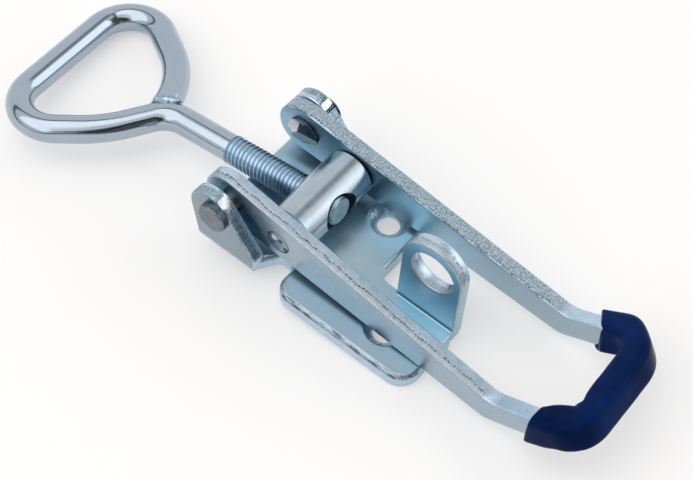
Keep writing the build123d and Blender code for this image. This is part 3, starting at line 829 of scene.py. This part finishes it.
def makeFloor():
    look = floorPlace
    bpy.ops.mesh.primitive_plane_add(size=look["size"])
    floor = newest("floor")
    rear, eye = look["rear"], look["eye"]
    slope = (rear[1] - eye[1]) / (rear[0] - eye[0])
    run = 1 / sqrt(1 + slope * slope)
    tilt = Matrix(((run, 0, -slope * run), (0, 1, 0), (slope * run, 0, run))).to_4x4()
    floor.data.transform(Matrix.Translation((rear[0], 0, rear[1] - look["drop"])) @ tilt)
    material = bpy.data.materials.new("paleFloor")
    material.use_nodes = True
    tree = material.node_tree
    shader = tree.nodes["Principled BSDF"]
    shader.inputs["Base Color"].default_value = (*look["colour"], 1)
    shader.inputs["Roughness"].default_value = 1.0
    shader.inputs["Specular IOR Level"].default_value = 0.0
    # the lift makes the open floor white to the camera and in reflections, without lighting the latch
    lift = addNode(tree, "ShaderNodeEmission", (0, -200), Strength=look["lift"])
    total = addNode(tree, "ShaderNodeAddShader", (200, -100))
    tree.links.new(shader.outputs["BSDF"], total.inputs[0])
    tree.links.new(lift.outputs["Emission"], total.inputs[1])
    path = addNode(tree, "ShaderNodeLightPath", (-600, 300))
    seen = mathNode(tree, "MAXIMUM", (-400, 300), path.outputs["Is Camera Ray"], path.outputs["Is Glossy Ray"])
    seen = mathNode(tree, "MAXIMUM", (-200, 300), seen, path.outputs["Is Transmission Ray"])
    mix = addNode(tree, "ShaderNodeMixShader", (400, 0))
    tree.links.new(seen, mix.inputs["Fac"])
    tree.links.new(shader.outputs["BSDF"], mix.inputs[1])
    tree.links.new(total.outputs["Shader"], mix.inputs[2])
    tree.links.new(mix.outputs["Shader"], tree.nodes["Material Output"].inputs["Surface"])
    floor.data.materials.append(material)


def skyPoint(azimuth, elevation):  # a point at distance 1
    a, e = radians(azimuth), radians(elevation)
    return Vector((cos(e) * cos(a), cos(e) * sin(a), sin(e)))


def makeRoom():  # a pale room with dark spots and a dark ring, which give the metal its dark bands
    look = roomLook
    world = bpy.data.worlds.new("studio")
    bpy.context.scene.world = world
    world.use_nodes = True
    tree = world.node_tree
    place = addNode(tree, "ShaderNodeTexCoord", (-1400, 0)).outputs["Generated"]

    def towards(azimuth, elevation, level):  # the cosine of the angle to that direction
        node = addNode(tree, "ShaderNodeVectorMath", (-1200, level))
        node.operation = "DOT_PRODUCT"
        node.inputs[1].default_value = skyPoint(azimuth, elevation)
        tree.links.new(place, node.inputs[0])
        return node.outputs["Value"]

    shade = 1.0
    for azimuth, elevation, inner, outer, left in look["spots"]:
        spot = rangeNode(tree, (-900, 0), towards(azimuth, elevation, 0), cos(radians(outer)), cos(radians(inner)),
                         1.0, left, "SMOOTHSTEP")
        shade = mathNode(tree, "MULTIPLY", (-600, 0), spot, shade)
    azimuth, elevation, inner, outer, left = look["ring"]
    near, far, middle = [cos(radians(reach)) for reach in (inner, outer, (inner + outer) / 2)]
    away = mathNode(tree, "SUBTRACT", (-900, -300), towards(azimuth, elevation, -300), middle)
    away = mathNode(tree, "ABSOLUTE", (-700, -300), away)
    edgeIn, edgeOut = [(near - far) * share for share in look["ringEdge"]]
    ring = rangeNode(tree, (-500, -300), away, edgeIn, edgeOut, left, 1.0, "SMOOTHSTEP")
    shade = mathNode(tree, "MULTIPLY", (-300, 0), shade, ring)
    background = tree.nodes["Background"]
    background.inputs["Color"].default_value = (look["surround"],) * 3 + (1,)
    tree.links.new(shade, background.inputs["Strength"])


def makeSoftbox(name, azimuth, elevation, width, height, roll, radiance, colour):
    lamp = bpy.data.lights.new(name, "AREA")
    lamp.shape = "RECTANGLE"
    lamp.size = width
    lamp.size_y = height
    lamp.energy = radiance * pi * width * height
    lamp.color = colour
    holder = bpy.data.objects.new(name, lamp)
    bpy.context.scene.collection.objects.link(holder)
    towards = skyPoint(azimuth, elevation)
    holder.location = Vector(softboxes["aim"]) + towards * softboxes["distance"]
    holder.rotation_mode = "QUATERNION"
    holder.rotation_quaternion = towards.to_track_quat("Z", "Y") @ Quaternion((0, 0, 1), radians(roll))


def makeCamera():
    look = cameraPlace
    camera = bpy.data.objects.new("camera", bpy.data.cameras.new("camera"))
    bpy.context.scene.collection.objects.link(camera)
    bpy.context.scene.camera = camera
    camera.data.sensor_width = look["sensor"]
    camera.data.lens = look["focal"] / look["frameWidth"] * look["sensor"]
    camera.data.clip_start = 0.01
    back = skyPoint(look["azimuth"], look["elevation"])
    right = (-back).cross(Vector((0, 0, 1))).normalized()
    up = right.cross(-back)
    roll = radians(look["roll"])
    tiltedRight = right * cos(roll) + up * sin(roll)
    tiltedUp = up * cos(roll) - right * sin(roll)
    turn = Matrix((tiltedRight, tiltedUp, back)).transposed().to_4x4()
    camera.matrix_world = Matrix.Translation(Vector(look["target"]) + back * look["distance"]) @ turn


makeFloor()
makeRoom()
for lamp in softboxes["lamps"]:
    makeSoftbox(*lamp)
makeCamera()
bpy.context.scene.view_settings.view_transform = "Standard"
print("studio done")
